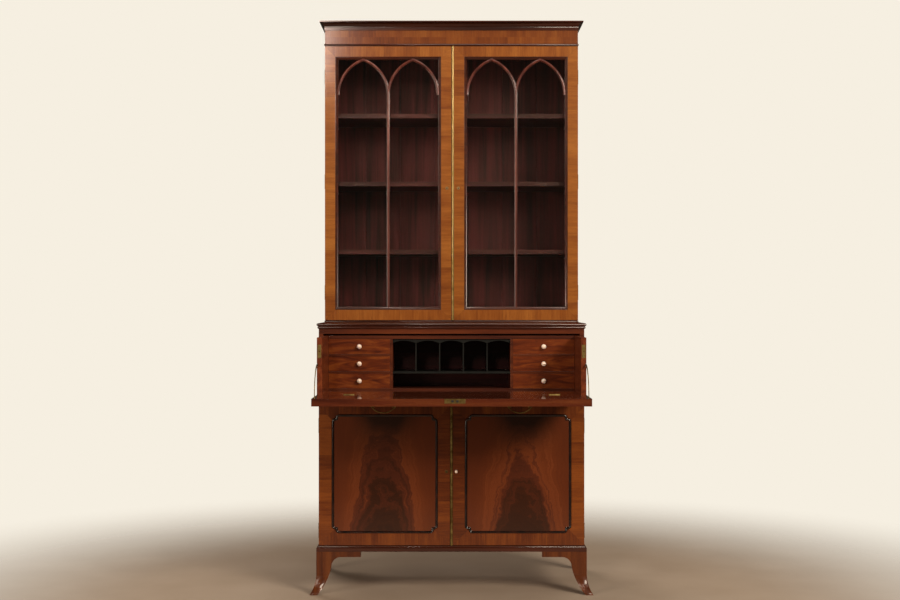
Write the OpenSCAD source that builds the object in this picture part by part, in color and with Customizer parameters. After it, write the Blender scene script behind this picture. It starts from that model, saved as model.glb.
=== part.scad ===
// Secretaire bookcase: a glazed bookcase on a case with a pull-out writing drawer over a cupboard.
// Millimetres, +Z up. The origin is on the floor, in the middle of the width, at the front edges
// of the lower case. The writing drawer is drawn pulled out with its fall lowered.

/* [Lower case] */
// Width of the lower case over its two sides
case_w = 1050; // [850:5:1300]
// Depth of the lower case from its front edges to the wall
case_d = 530; // [440:5:700]
// Height of the writing surface above the floor
writing_h = 805; // [700:5:960]
// Thickness of the sides of both cases
side_t = 18; // [16:1:26]
// Thickness of the plain boards inside
board_t = 20; // [14:1:24]
// Thickness of the back panels
panel_t = 12; // [8:1:16]
// Height of the bracket feet
foot_h = 167; // [120:1:210]
// Height of the moulding above the feet
plinth_h = 23; // [18:1:30]
// How far the plinth moulding stands out from the case
plinth_out = 9; // [6:0.5:12]
// Height of the rail between the cupboard and the writing drawer
rail_h = 35; // [24:1:45]
// Height of the rail above the writing drawer
top_rail_h = 20; // [14:1:30]
// Thickness of the top of the lower case
top_t = 22; // [18:1:30]
// How far the reeded edge stands out at the sides
top_out = 8; // [6:0.5:12]

/* [Feet] */
// Length of one bracket along the case
bracket_l = 176; // [140:1:200]
// Thickness of the bracket boards
bracket_t = 20; // [16:1:24]
// Width of the leg where the bracket begins
leg_w = 60; // [50:1:70]
// How far the foot splays outwards at the floor
splay = 24; // [12:1:30]
// Height at which the splay begins
splay_h = 80; // [60:1:100]

/* [Bookcase] */
// Width of the bookcase over its two sides
bookcase_w = 1034; // [840:2:1280]
// Depth of the bookcase
bookcase_d = 340; // [260:5:420]
// Height of the bookcase with its cornice
bookcase_h = 1230; // [1000:5:1500]
// Thickness of the bookcase shelves
shelf_t = 18; // [14:1:22]
// Height of the plain moulding around the foot of the bookcase
waist_h = 8.5; // [6:0.5:12]
// Height of the bead under the frieze
bead_h = 9; // [7:0.5:12]
// Height of the frieze
frieze_h = 55; // [45:1:75]
// Height of the cornice
cornice_h = 36; // [30:1:44]
// How far the cornice stands out
cornice_out = 21; // [16:1:24]

/* [Doors] */
// Thickness of all four doors
door_t = 22; // [20:1:26]
// Gap between a closed door and the edges that it covers
door_gap = 1; // [0.8:0.1:2]
// Gap above and below each door
end_gap = 1.5; // [1:0.1:3]
// Width of the stiles and rails of the glazed doors
stile_w = 42; // [34:1:55]
// Width of the sunk bead around the glass
glass_bead_w = 12; // [9:1:14]
// Width of a glazing bar
bar_w = 11; // [8:0.5:14]
// Thickness of the glass
glass_t = 3; // [2:0.5:4]
// Width of the stiles of the cupboard doors
cup_stile_w = 48; // [40:1:60]
// Width of the bottom rail of the cupboard doors
cup_rail_w = 47; // [40:1:60]
// Width of the top rail of the cupboard doors
cup_top_rail_w = 31; // [26:1:40]
// Width of the panel moulding
moulding_w = 9.5; // [7:0.5:12]
// Step of the indented panel corners
corner_step = 15; // [10:1:20]
// Width of the brass strip between two doors
strip_w = 9; // [7:0.5:12]

/* [Writing drawer] */
// How far the drawer stands out of the case when it is open
pull = 310; // [240:5:330]
// Depth of the open writing surface in front of the nest
well_d = 290; // [240:5:300]
// Thickness of the fall and of the drawer's front rail
fall_t = 27.6; // [24:0.2:32]
// Height of the drawer sides above the writing surface
drawer_side_h = 215; // [180:1:250]
// Thickness of the drawer sides
drawer_side_t = 20; // [16:1:24]
// Free space above the drawer sides
drawer_top_gap = 7; // [4:0.5:12]
// Running gap between the drawer and the case
slide_gap = 1; // [0.5:0.1:2]
// Radius of the brass stays of the fall
stay_r = 112; // [90:1:130]

/* [Nest of small drawers] */
// Width of one small drawer opening
cell_w = 243.5; // [180:0.5:280]
// Thickness of the nest's bottom board
nest_bottom_t = 6; // [5:0.5:10]
// Thickness of the nest's top board
nest_top_t = 13; // [8:0.5:16]
// Thickness of the boards between the small drawers
row_t = 8; // [6:0.5:10]
// Thickness of the walls beside the pigeonholes
nest_wall_t = 10; // [8:0.5:14]
// Height of the long space under the pigeonholes
long_space_h = 59; // [45:1:75]
// Number of pigeonholes
pigeonholes = 5; // [3:1:7]
// Thickness of the pigeonhole partitions
partition_t = 5; // [4:0.5:8]
// Clearance around a small drawer
small_gap = 0.6; // [0.4:0.1:1]
// Diameter of the turned knobs
knob_d = 19; // [15:0.5:24]

/* [Hinges and handles] */
// Length of a door hinge
hinge_l = 60; // [45:1:80]
// Length of a hinge of the fall
fall_hinge_l = 41; // [32:1:60]
// Radius of a hinge knuckle
knuckle_r = 3; // [2.6:0.1:4]
// Radius of a hinge pin
pin_r = 1.5; // [1.2:0.1:1.8]
// Running clearance around a pin
pin_fit = 0.05; // [0.03:0.01:0.08]
// Thickness of a hinge leaf
leaf_t = 1.5; // [1:0.1:2]
// Width of a hinge leaf
leaf_w = 15; // [12:1:18]
// Width of a bail handle between its two posts
bail_w = 70; // [60:1:90]
// Drop of a bail handle
bail_drop = 23; // [18:1:26]
// Distance of each bail handle from the middle of the fall
bail_x = 251; // [180:1:320]

/* [Hidden] */
$fn = 64;

// glue line between boards that are drawn in one node, and clearance around sunk metal
glue = 0.05;
metal_gap = 0.3;

// heights
floor_top = foot_h + plinth_h - 1;
dust_top = writing_h - fall_t - 0.4;
rail_z = dust_top - rail_h;
drawer_top = writing_h + drawer_side_h;
opening_top = drawer_top + drawer_top_gap;
base_under = opening_top + top_rail_h;
base_top_z = base_under + top_t;
overall_h = base_top_z + bookcase_h;
cornice_z = overall_h - cornice_h;
frieze_z = cornice_z - frieze_h;
bead_z = frieze_z - bead_h;
book_door_z = [base_top_z + waist_h + end_gap, bead_z - end_gap];
cup_door_z = [foot_h + plinth_h + end_gap, rail_z - end_gap];

// depths
case_half = case_w / 2;
inner_half = case_half - side_t;
book_half = bookcase_w / 2;
book_front = case_d - bookcase_d;
back_front = case_d - panel_t;
top_front = -door_t - 2;
hinge_y = -pull;
closed_y = fall_t - door_t;
rear_room = 20;
drawer_back_t = 12;
nest_front = hinge_y + well_d;
nest_d = back_front - rear_room - drawer_back_t - well_d - closed_y;
nest_back = nest_front + nest_d;
joint_gap = 0.4;

// writing drawer and fall
drawer_half = inner_half - slide_gap;
drawer_in = drawer_half - drawer_side_t;
fall_l = opening_top - writing_h - 2;
lip_t = 14;
tongue_l = fall_t - 0.6;
rail_d = 50;
stay_w = 8;
stay_t = 2.5;
groove_gap = 1;
groove_angles = [-9.5, 96];
stay_angles = [82, 180];
bail_y = hinge_y - fall_l / 2;
bail_z = writing_h - fall_t - 8.4;
bail_rod_r = 1.9;
bail_clear = 4;
bail_pin_l = 14;
post_r = 3.5;
lock_x = 12;
lock_w = 76;

// nest
nest_floor = writing_h + nest_bottom_t;
nest_ceiling = drawer_top - nest_top_t;
row_h = (nest_ceiling - nest_floor - 2 * row_t) / 3;
wall_out = drawer_in - cell_w;
wall_in = wall_out - nest_wall_t;
pigeon_floor = nest_floor + long_space_h + row_t;
pigeon_pitch = (2 * wall_in + partition_t) / pigeonholes;
partition_front = nest_front + 8;
valance_h = 17;
small_front_t = 10;
small_side_t = 7;
small_bottom_t = 5;
dowel_r = 2.5;
dowel_l = 9;

// doors
strip_x = [5.5, 0];
rebate_d = 8;
hinge_stile_extra = 3;
bar_sink = 3;
arch_spring = 143;
bar_t = 6;
panel_sink = 2;
hinge_rows_book = [0.109, 0.493, 0.899];
hinge_rows_cup = [0.141, 0.9];

// ---- shared shapes ----

// a plain board between two corners
module board(low, high) {
    translate(low) cube(high - low);
}

// the same shape on the left and on the right
module both_sides() {
    children();
    mirror([1, 0, 0]) children();
}

// mirrors a right-hand piece to the left when side is -1
module on_side(side) {
    mirror([side < 0 ? 1 : 0, 0, 0]) children();
}

// draws a shape given in Y and Z along X, between two places
module along_x(x0, x1) {
    translate([x0, 0, 0]) rotate([90, 0, 90]) linear_extrude(x1 - x0) children();
}

// draws a shape given in X and Z along Y, between two places
module along_y(y0, y1) {
    translate([0, y1, 0]) rotate([90, 0, 0]) linear_extrude(y1 - y0) children();
}

// a moulding round the front and the two ends of a block, mitred at the corners;
// its child is the projecting outline: X outwards from the block, Y upwards
module wrap_moulding(half_w, front_y, back_y, z, h, reach, inside) {
    difference() {
        intersection() {
            along_y(front_y - reach, back_y) {
                translate([half_w, z]) children();
                mirror([1, 0]) translate([half_w, z]) children();
                translate([-half_w, z]) square([2 * half_w, h]);
            }
            along_x(-half_w - reach, half_w + reach) {
                translate([front_y, z]) mirror([1, 0]) children();
                translate([front_y, z]) square([back_y - front_y, h]);
            }
        }
        board([-half_w + inside[0], front_y + inside[1], z - 1], [half_w - inside[0], back_y + 1, z + h + 1]);
    }
}

// a hinge knuckle pair seen along the pin, standing on the origin; the leaf runs to -X
// and lies on the +Y side of the pin line, set off from it by gap
module hinge_leaf(length, gap, knuckles, with_pin) {
    step = length / 5;
    play = 0.15;
    tab_x = knuckle_r * 0.72;
    difference() {
        union() {
            board([-leaf_w, gap, 0], [-knuckle_r - metal_gap, gap + leaf_t, length]);
            for (k = knuckles) {
                translate([0, 0, k * step + play]) cylinder(r = knuckle_r, h = step - 2 * play);
                board([-leaf_w, gap, k * step + play],
                    [-tab_x, gap + leaf_t, (k + 1) * step - play]);
            }
        }
        if (!with_pin) translate([0, 0, -1]) cylinder(r = pin_r + pin_fit, h = length + 2);
    }
    if (with_pin) translate([0, 0, play]) cylinder(r = pin_r, h = length - 2 * play);
}

// the pocket that a leaf and its knuckles are sunk into
module leaf_pocket(length, gap) {
    reach = knuckle_r + metal_gap;
    board([-leaf_w, -reach, 0], [0, gap + leaf_t, length]);
    board([-reach, -reach, -metal_gap], [reach, reach, length + metal_gap]);
}

// places a child at each door hinge of a right-hand door
module at_hinges(half_w, joint_y, door_z, rows) {
    for (r = rows) {
        middle = door_z[1] - r * (door_z[1] - door_z[0]);
        translate([half_w, joint_y, middle - hinge_l / 2]) children();
    }
}

module at_book_hinges() {
    at_hinges(book_half, book_front - door_gap / 2, book_door_z, hinge_rows_book) children();
}

module at_cup_hinges() {
    at_hinges(case_half, -door_gap / 2, cup_door_z, hinge_rows_cup) children();
}

// pockets in the case edge and in the door back
module case_pockets() {
    leaf_pocket(hinge_l, door_gap / 2);
}

module door_pockets() {
    mirror([0, 1, 0]) leaf_pocket(hinge_l, door_gap / 2);
}

// ---- lower case ----

module base_sides() {
    color("#6e3316") both_sides() difference() {
        board([inner_half, 0, foot_h], [case_half, back_front, base_under]);
        at_cup_hinges() case_pockets();
    }
}

module base_bottom() {
    color("#5d2c14") board([-inner_half, 0, foot_h], [inner_half, back_front, floor_top]);
}

module base_back() {
    color("#4b2512") board([-case_half, back_front, foot_h], [case_half, case_d, base_under]);
}

cup_shelf_z = (floor_top + rail_z) / 2;
cup_shelf_y = 30;

module cupboard_shelf() {
    color("#5d2c14") board([-inner_half + 1, cup_shelf_y, cup_shelf_z - board_t],
        [inner_half - 1, back_front, cup_shelf_z]);
}

module dust_board() {
    color("#5d2c14")
        board([-inner_half, rail_d / 2, dust_top - board_t], [inner_half, back_front, dust_top]);
}

// rails above and below the writing drawer, and the posts at its two ends
module front_rails() {
    color("#62290f") {
        board([-inner_half, -door_t, rail_z], [inner_half, rail_d / 2, dust_top]);
        board([-inner_half, -door_t, opening_top], [inner_half, rail_d / 2, base_under]);
        both_sides() board([inner_half + glue, -door_t, rail_z], [case_half, 0, base_under]);
    }
}

module base_top() {
    color("#6e3316") board([-case_half, top_front, base_under], [case_half, case_d, base_top_z]);
}

// two reeds one above the other, the upper one standing out further
module reeded_outline() {
    reed_r = top_t / 4;
    translate([top_out - reed_r, 3 * reed_r]) circle(reed_r);
    translate([top_out * 0.6 - reed_r, reed_r]) circle(reed_r);
    square([top_out * 0.3, top_t]);
}

module top_moulding() {
    color("#3c1a10")
        wrap_moulding(case_half, top_front, case_d, base_under, top_t, top_out, [0, 0]) reeded_outline();
}

// a fascia under a cove and a thin fillet
module plinth_outline() {
    fillet = 3;
    cove_r = plinth_out - fillet;
    difference() {
        square([plinth_out, plinth_h]);
        translate([plinth_out, plinth_h - fillet]) circle(cove_r);
        translate([fillet, plinth_h - fillet]) square([plinth_out, fillet + 1]);
    }
}

module plinth_moulding() {
    color("#3c1a10")
        wrap_moulding(case_half, -door_t, case_d, foot_h, plinth_h, plinth_out, [0, door_t])
            plinth_outline();
}

// ---- feet ----

// radius of the outward curve, which is upright where the splay begins
splay_r = (splay_h * splay_h + splay * splay) / (2 * splay);

// everything behind the outer face of a foot: upright above, curving outwards below;
// X runs inwards from the outer face, Y upwards
module behind_face() {
    translate([0, splay_h - 1]) square([bracket_l, foot_h - splay_h + 1]);
    difference() {
        translate([-splay, 0]) square([bracket_l + splay, splay_h]);
        translate([-splay_r, splay_h]) circle(splay_r, $fn = 128);
    }
}

// a bracket board seen end-on, following the outer face
module skin_outline() {
    intersection() {
        behind_face();
        union() {
            translate([0, splay_h]) square([bracket_t, foot_h - splay_h]);
            intersection() {
                translate([-splay_r, splay_h]) circle(splay_r + bracket_t, $fn = 128);
                translate([-splay, 0]) square([splay + bracket_t, splay_h]);
            }
        }
    }
}

// the shape of a bracket seen from the front: leg, spur and wing
module bracket_outline() {
    intersection() {
        behind_face();
        bracket_shape();
    }
}

module bracket_shape() {
    wing_h = 21;
    spur_z = foot_h * 0.725;
    hollow_over = 12;
    hollow_r = foot_h - wing_h - spur_z + hollow_over;
    leg_r = 222;
    leg_shift = 3;
    leg_lift = 28;
    translate([0, foot_h - wing_h]) square([bracket_l, wing_h]);
    translate([0, spur_z]) square([leg_w, foot_h - spur_z]);
    difference() {
        translate([leg_w - 1, spur_z]) square([hollow_r, foot_h - wing_h - spur_z + 1]);
        translate([leg_w + hollow_r, foot_h - wing_h - hollow_r]) circle(hollow_r);
    }
    intersection() {
        translate([-splay, 0]) square([leg_w + splay, spur_z]);
        translate([leg_w - leg_r + leg_shift, spur_z + leg_lift]) circle(leg_r, $fn = 128);
    }
}

// one corner foot made of two mitred brackets, on the right at the front
module corner_foot() {
    x0 = case_half + plinth_out;
    y0 = -door_t - plinth_out;
    intersection() {
        translate([x0, 0, 0]) mirror([1, 0, 0]) along_y(y0 - splay, y0 + bracket_l) bracket_outline();
        translate([0, y0, 0]) along_x(x0 - bracket_l, x0 + splay) skin_outline();
    }
    intersection() {
        translate([0, y0, 0]) along_x(x0 - bracket_l, x0 + splay) bracket_outline();
        translate([x0, 0, 0]) mirror([1, 0, 0]) along_y(y0 - splay, y0 + bracket_l) skin_outline();
    }
}

module feet_front() {
    color("#6a3012") both_sides() corner_foot();
}

// a side bracket of a back foot, square to the wall instead of splayed
module back_bracket_outline() {
    intersection() {
        translate([splay, 0]) bracket_shape();
        square([bracket_l, foot_h]);
    }
    translate([0, foot_h / 2]) square([splay, foot_h / 2]);
}

// the back feet have a bracket along the side and a plain board across the back
module feet_back() {
    x0 = case_half + plinth_out;
    color("#4b2512") both_sides() {
        intersection() {
            translate([0, case_d, 0]) mirror([0, 1, 0]) along_x(x0 - bracket_t - splay, x0 + splay)
                back_bracket_outline();
            translate([x0, 0, 0]) mirror([1, 0, 0]) along_y(case_d - bracket_l, case_d) skin_outline();
        }
        board([x0 - bracket_l * 0.6, case_d - bracket_t, foot_h / 2],
            [x0 - bracket_t - glue, case_d, foot_h]);
    }
}

// ---- bookcase ----

module bookcase_sides() {
    color("#7d3c17") both_sides() difference() {
        board([book_half - side_t, book_front, base_top_z], [book_half, back_front, cornice_z]);
        at_book_hinges() case_pockets();
    }
}

module bookcase_bottom() {
    color("#4a1a12") board([-book_half + side_t, book_front, base_top_z],
        [book_half - side_t, back_front, base_top_z + board_t]);
}

module bookcase_top() {
    color("#4a1a12") board([-book_half + side_t, book_front, frieze_z],
        [book_half - side_t, back_front, frieze_z + board_t]);
}

module bookcase_back() {
    color("#4a1414") board([-book_half, back_front, base_top_z], [book_half, case_d, cornice_z]);
}

// heights of the tops of the three shelves
book_floor = base_top_z + board_t;
book_clear = (frieze_z - book_floor) / 4;
shelf_tops = [for (k = [1:3]) book_floor + k * book_clear - 1];
shelf_front = book_front + 25;

module bookcase_shelves() {
    color("#4a1a12") for (z = shelf_tops)
        board([-book_half + side_t + 1, shelf_front, z - shelf_t], [book_half - side_t - 1, back_front, z]);
}

// strips screwed to the sides that carry the shelves
module shelf_ledges() {
    ledge = 12;
    set_back = 15;
    color("#3f1a10") both_sides() {
        for (z = shelf_tops)
            board([book_half - side_t - ledge, shelf_front + set_back, z - shelf_t - ledge],
                [book_half - side_t, back_front, z - shelf_t]);
        board([inner_half - ledge, cup_shelf_y + set_back, cup_shelf_z - board_t - ledge],
            [inner_half, back_front, cup_shelf_z - board_t]);
    }
}

module waist_moulding() {
    color("#3c1a10") difference() {
        wrap_moulding(book_half, book_front - door_t, case_d, base_top_z, waist_h, 2, [0, door_t]) {
            square([0.8, waist_h]);
            translate([2 - waist_h / 2, waist_h / 2]) circle(waist_h / 2);
        }
    }
}

// a veneered board over a dark bead, round the front and the ends
module frieze() {
    color("#7d3c17") board([-book_half, book_front - door_t + 2, frieze_z], [book_half, book_front, cornice_z]);
}

module frieze_bead() {
    wrap_moulding(book_half, book_front - door_t, back_front, bead_z, bead_h, 3, [0, door_t]) {
        square([1, bead_h]);
        translate([3 - bead_h / 2, bead_h / 2]) circle(bead_h / 2);
    }
}

// fascia, cove and small bead
module cornice_outline() {
    fascia = 5;
    foot = 6;
    cove_r = cornice_out - 2;
    difference() {
        square([cornice_out, cornice_h]);
        translate([cornice_out, cornice_h - fascia - cove_r]) circle(cove_r);
        translate([2, -1]) square([cornice_out, cornice_h - fascia - cove_r + 1]);
    }
    translate([2 - foot / 2, foot / 2]) circle(foot / 2);
}

module cornice() {
    color("#3c1a10") {
        wrap_moulding(book_half, book_front - door_t + 2, case_d, cornice_z, cornice_h, cornice_out,
            [side_t, 30]) cornice_outline();
        frieze_bead();
    }
}

module case_hinges() {
    color("#b08d4a") both_sides() {
        at_book_hinges() hinge_leaf(hinge_l, door_gap / 2, [0, 2, 4], false);
        at_cup_hinges() hinge_leaf(hinge_l, door_gap / 2, [0, 2, 4], false);
    }
}

// ---- glazed doors ----

// outer and meeting edge of a door on the right (1) or on the left (-1), measured outwards;
// the brass strip belongs to the right door
function door_edges(side, half_w, strip) =
    [side > 0 ? strip + strip_w / 2 : strip_w / 2 - strip + end_gap, half_w];
book_doors = [door_edges(-1, book_half, strip_x[0]), door_edges(1, book_half, strip_x[0])];
cup_doors = [door_edges(-1, case_half, strip_x[1]), door_edges(1, case_half, strip_x[1])];
book_door_y = [book_front - door_gap - door_t, book_front - door_gap];
cup_door_y = [-door_gap - door_t, -door_gap];
function edges_of(list, side) = list[side > 0 ? 1 : 0];

module bookcase_frame(side) {
    e = edges_of(book_doors, side);
    z = book_door_z;
    y = book_door_y;
    color("#8a4318") on_side(side) difference() {
        union() {
            board([e[0], y[0], z[0]], [e[0] + stile_w, y[1], z[1]]);
            board([e[1] - stile_w, y[0], z[0]], [e[1], y[1], z[1]]);
            board([e[0] + stile_w + glue, y[0], z[0]], [e[1] - stile_w - glue, y[1], z[0] + stile_w]);
            board([e[0] + stile_w + glue, y[0], z[1] - stile_w], [e[1] - stile_w - glue, y[1], z[1]]);
        }
        at_book_hinges() door_pockets();
    }
}

// one lancet bar: an arc that springs at (0, 0) and leans to the middle of its light
module arch_bar(light_w, rise) {
    arc_r = (light_w * light_w / 4 + rise * rise) / light_w;
    intersection() {
        translate([arc_r, 0]) difference() {
            circle(arc_r + bar_w / 2, $fn = 128);
            circle(arc_r - bar_w / 2, $fn = 128);
        }
        translate([-bar_w / 2, 0]) square([light_w / 2 + bar_w / 2 + 2, rise + bar_w]);
    }
}

// sunk bead round the glass, upright bar and two pointed arches
module tracery(side) {
    e = edges_of(book_doors, side);
    x0 = e[0] + stile_w;
    x1 = e[1] - stile_w;
    z0 = book_door_z[0] + stile_w;
    z1 = book_door_z[1] - stile_w;
    inner = x1 - x0 - 2 * glass_bead_w;
    light = inner / 2;
    spring = z1 - glass_bead_w - arch_spring;
    color("#5c2812") on_side(side) {
        along_y(book_door_y[0] + bar_sink, book_door_y[0] + bar_sink + bar_t) {
            difference() {
                translate([x0 + glue, z0 + glue]) square([x1 - x0 - 2 * glue, z1 - z0 - 2 * glue]);
                translate([x0 + glass_bead_w, z0 + glass_bead_w])
                    square([inner, z1 - z0 - 2 * glass_bead_w]);
            }
            intersection() {
                translate([x0 + glass_bead_w - 1, z0 + glass_bead_w - 1])
                    square([inner + 2, z1 - z0 - 2 * glass_bead_w + 2]);
                union() {
                    translate([(x0 + x1) / 2 - bar_w / 2, z0]) square([bar_w, spring - z0]);
                    for (k = [0:1]) translate([x0 + glass_bead_w + k * light, spring]) {
                        arch_bar(light, arch_spring);
                        translate([light, 0]) mirror([1, 0]) arch_bar(light, arch_spring);
                    }
                }
            }
        }
    }
}

module glass(side) {
    e = edges_of(book_doors, side);
    y = book_door_y[0] + bar_sink + bar_t + glue;
    color("#9fb0b0", 0.4) on_side(side)
        board([e[0] + stile_w + 0.5, y, book_door_z[0] + stile_w + 0.5],
            [e[1] - stile_w - 0.5, y + glass_t, book_door_z[1] - stile_w - 0.5]);
}

// a small keyhole plate on the door face
module escutcheon(x, face_y, z) {
    plate_r = 6.5;
    plate_t = 1.2;
    hole_r = 1.8;
    slot_l = 4.5;
    along_y(face_y - plate_t, face_y) translate([x, z]) difference() {
        circle(plate_r, $fn = 32);
        circle(hole_r, $fn = 24);
        translate([-hole_r / 2, -slot_l]) square([hole_r, slot_l]);
    }
}

module bookcase_brass(side) {
    e = edges_of(book_doors, side);
    z = book_door_z;
    mid_z = z[0] + (z[1] - z[0]) * 0.482;
    color("#b08d4a") on_side(side) {
        at_book_hinges() mirror([0, 1, 0]) hinge_leaf(hinge_l, door_gap / 2, [1, 3], true);
        escutcheon(e[0] + stile_w / 2 - 3, book_door_y[0], mid_z);
        if (side > 0) board([e[0] - strip_w, book_door_y[0] - 2, z[0]], [e[0], book_door_y[1], z[1]]);
    }
}

// ---- cupboard doors ----

// the opening of a cupboard door, as [low corner, high corner] in X and Z
function panel_box(e) = [
    [e[0] + cup_stile_w, cup_door_z[0] + cup_rail_w],
    [e[1] - cup_stile_w - hinge_stile_extra, cup_door_z[1] - cup_top_rail_w]
];

// a rectangle with rounded corners
module round_rect(low, high, r) {
    translate([low[0] + r, low[1]]) square([high[0] - low[0] - 2 * r, high[1] - low[1]]);
    translate([low[0], low[1] + r]) square([high[0] - low[0], high[1] - low[1] - 2 * r]);
    for (x = [low[0] + r, high[0] - r], y = [low[1] + r, high[1] - r]) translate([x, y]) circle(r);
}

// the panel outline: a rectangle whose corners step inwards between two round shoulders,
// drawn smaller by inset on every side
module indented(box, inset) {
    low = box[0] + [inset, inset];
    high = box[1] - [inset, inset];
    r = corner_step;
    round_rect([low[0] + corner_step, low[1]], [high[0] - corner_step, high[1]], r);
    round_rect([low[0], low[1] + corner_step], [high[0], high[1] - corner_step], r);
}

module cupboard_frame(side) {
    e = edges_of(cup_doors, side);
    z = cup_door_z;
    y = cup_door_y;
    box = panel_box(e);
    color("#6a3012") on_side(side) difference() {
        board([e[0], y[0], z[0]], [e[1], y[1], z[1]]);
        along_y(y[0] - 1, y[1] + 1) indented(box, 0);
        board([box[0][0] - rebate_d, y[0] + 8, box[0][1] - rebate_d],
            [box[1][0] + rebate_d, y[1] + 1, box[1][1] + rebate_d]);
        at_cup_hinges() door_pockets();
    }
}

module panel(side) {
    box = panel_box(edges_of(cup_doors, side));
    y = cup_door_y;
    lap = rebate_d - 0.2;
    color("#5a2210") on_side(side) {
        along_y(y[0] + panel_sink, y[0] + 8.2) indented(box, 0.2);
        board([box[0][0] - lap, y[0] + 8.1, box[0][1] - lap], [box[1][0] + lap, y[1] - 4, box[1][1] + lap]);
    }
}

module panel_moulding(side) {
    box = panel_box(edges_of(cup_doors, side));
    y = cup_door_y;
    color("#1c100c") on_side(side) along_y(y[0] - 4, y[0] + panel_sink - glue) difference() {
        indented(box, 0.3);
        indented(box, moulding_w);
    }
}

module cupboard_brass(side) {
    e = edges_of(cup_doors, side);
    z = cup_door_z;
    mid_z = z[0] + (z[1] - z[0]) * 0.53;
    color("#b08d4a") on_side(side) {
        at_cup_hinges() mirror([0, 1, 0]) hinge_leaf(hinge_l, door_gap / 2, [1, 3], true);
        escutcheon(e[0] + 14, cup_door_y[0], mid_z);
        if (side > 0) board([e[0] - strip_w, cup_door_y[0] - 2, z[0]], [e[0], cup_door_y[1], z[1]]);
    }
}

// ---- writing drawer ----

// places a child at each hinge of the fall, pin along X, leaf towards the case
module at_fall_hinges() {
    hinge_x = drawer_half * 0.763;
    for (x = [-hinge_x, hinge_x]) translate([x - fall_hinge_l / 2, hinge_y, writing_h])
        rotate([90, 0, 90]) mirror([1, 0, 0]) children();
}

module fall_hinge_pocket() {
    reach = knuckle_r + metal_gap;
    board([-leaf_w, -leaf_t, 0], [0, 1, fall_hinge_l]);
    board([-reach, -reach, -metal_gap], [reach, reach, fall_hinge_l + metal_gap]);
}

// a ring sector round the fall's hinge line, seen from the side; angles run from the case
// side (0) over the top (90) to the front (180)
module stay_ring(x0, x1, r0, r1, angles) {
    translate([x0, hinge_y, writing_h]) rotate([90, 0, 90]) rotate([0, 0, angles[0]])
        rotate_extrude(angle = angles[1] - angles[0], $fn = 128) translate([r0, 0]) square([r1 - r0, x1 - x0]);
}

module drawer_sides() {
    y1 = nest_back + drawer_back_t;
    z0 = writing_h - fall_t;
    lip_z = writing_h - lip_t;
    notch_y = hinge_y + fall_t + 0.4;
    color("#7a3a18") both_sides() difference() {
        along_x(drawer_in, drawer_half) polygon([[hinge_y + joint_gap, lip_z], [notch_y, lip_z],
            [notch_y, z0], [y1, z0], [y1, drawer_top], [hinge_y + joint_gap, drawer_top]]);
        stay_ring(drawer_half - stay_t - 0.8, drawer_half + 1,
            stay_r - stay_w / 2 - groove_gap, stay_r + stay_w / 2 + groove_gap, groove_angles);
        catch_plate(metal_gap / 3);
    }
}

// the writing surface: a thin lip over the fall's tongue, a deep rail and a board
module drawer_bottom() {
    y0 = hinge_y + joint_gap;
    y1 = hinge_y + fall_t + 0.4;
    y2 = y1 + rail_d;
    z0 = writing_h - fall_t;
    z1 = writing_h - lip_t;
    color("#5f2a12") difference() {
        along_x(-drawer_in, drawer_in) polygon([[y0, z1], [y1, z1], [y1, z0], [y2, z0], [y2, z1],
            [nest_back, z1], [nest_back, writing_h], [y0, writing_h]]);
        at_fall_hinges() fall_hinge_pocket();
    }
}

module drawer_back() {
    color("#4a1414") board([-drawer_in, nest_back, writing_h - fall_t],
        [drawer_in, nest_back + drawer_back_t, drawer_top]);
}

// floor, top, two inner walls and the boards between the small drawers
module nest_boards() {
    color("#6a2e14") {
        board([-drawer_in, nest_front, writing_h], [drawer_in, nest_back, nest_floor]);
        board([-drawer_in, nest_front, nest_ceiling], [drawer_in, nest_back, drawer_top]);
        both_sides() {
            board([wall_in, nest_front, nest_floor + glue], [wall_out, nest_back, nest_ceiling - glue]);
            for (k = [1:2]) {
                z = nest_floor + k * row_h + (k - 1) * row_t;
                board([wall_out + glue, nest_front, z], [drawer_in, nest_back, z + row_t]);
            }
        }
    }
}

// shelf, upright partitions and the arched valance of the pigeonholes
module nest_partitions() {
    half = wall_in - glue;
    arch_w = pigeon_pitch - partition_t;
    arch_rise = 10;
    arch_r = (arch_w * arch_w / 4 + arch_rise * arch_rise) / (2 * arch_rise);
    valance_z = nest_ceiling - valance_h;
    color("#14120c") {
        board([-half, nest_front + 2, pigeon_floor - row_t], [half, nest_back, pigeon_floor - glue]);
        for (k = [1:pigeonholes - 1]) {
            x = -wall_in - partition_t / 2 + k * pigeon_pitch;
            board([x - partition_t / 2, partition_front + 4, pigeon_floor],
                [x + partition_t / 2, nest_back, nest_ceiling - glue]);
        }
        along_y(partition_front, partition_front + 4 - glue) difference() {
            translate([-half, valance_z]) square([2 * half, valance_h - glue]);
            for (k = [0:pigeonholes - 1]) {
                x = -wall_in + arch_w / 2 + k * pigeon_pitch;
                translate([x, valance_z + arch_rise - arch_r]) circle(arch_r, $fn = 128);
            }
        }
    }
}

// the plate with a keyhole on the front edge of a drawer side
module catch_plate(clear) {
    plate_l = 50;
    plate_half = 7;
    z1 = drawer_top - 27;
    y0 = hinge_y + joint_gap;
    x = (drawer_in + drawer_half) / 2;
    difference() {
        board([x - plate_half - clear, y0 - (clear > 0 ? 1 : 0), z1 - plate_l - clear],
            [x + plate_half + clear, y0 + 1.5 + clear, z1 + clear]);
        if (clear == 0) translate([x, y0 + 3, z1 - plate_l / 2]) rotate([90, 0, 0])
            cylinder(r = 2.5, h = 6, $fn = 24);
    }
}

module drawer_brass() {
    color("#b08d4a") {
        both_sides() catch_plate(0);
        at_fall_hinges() mirror([0, 1, 0]) hinge_leaf(fall_hinge_l, 0, [0, 2, 4], false);
    }
}

// ---- fall ----

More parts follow.
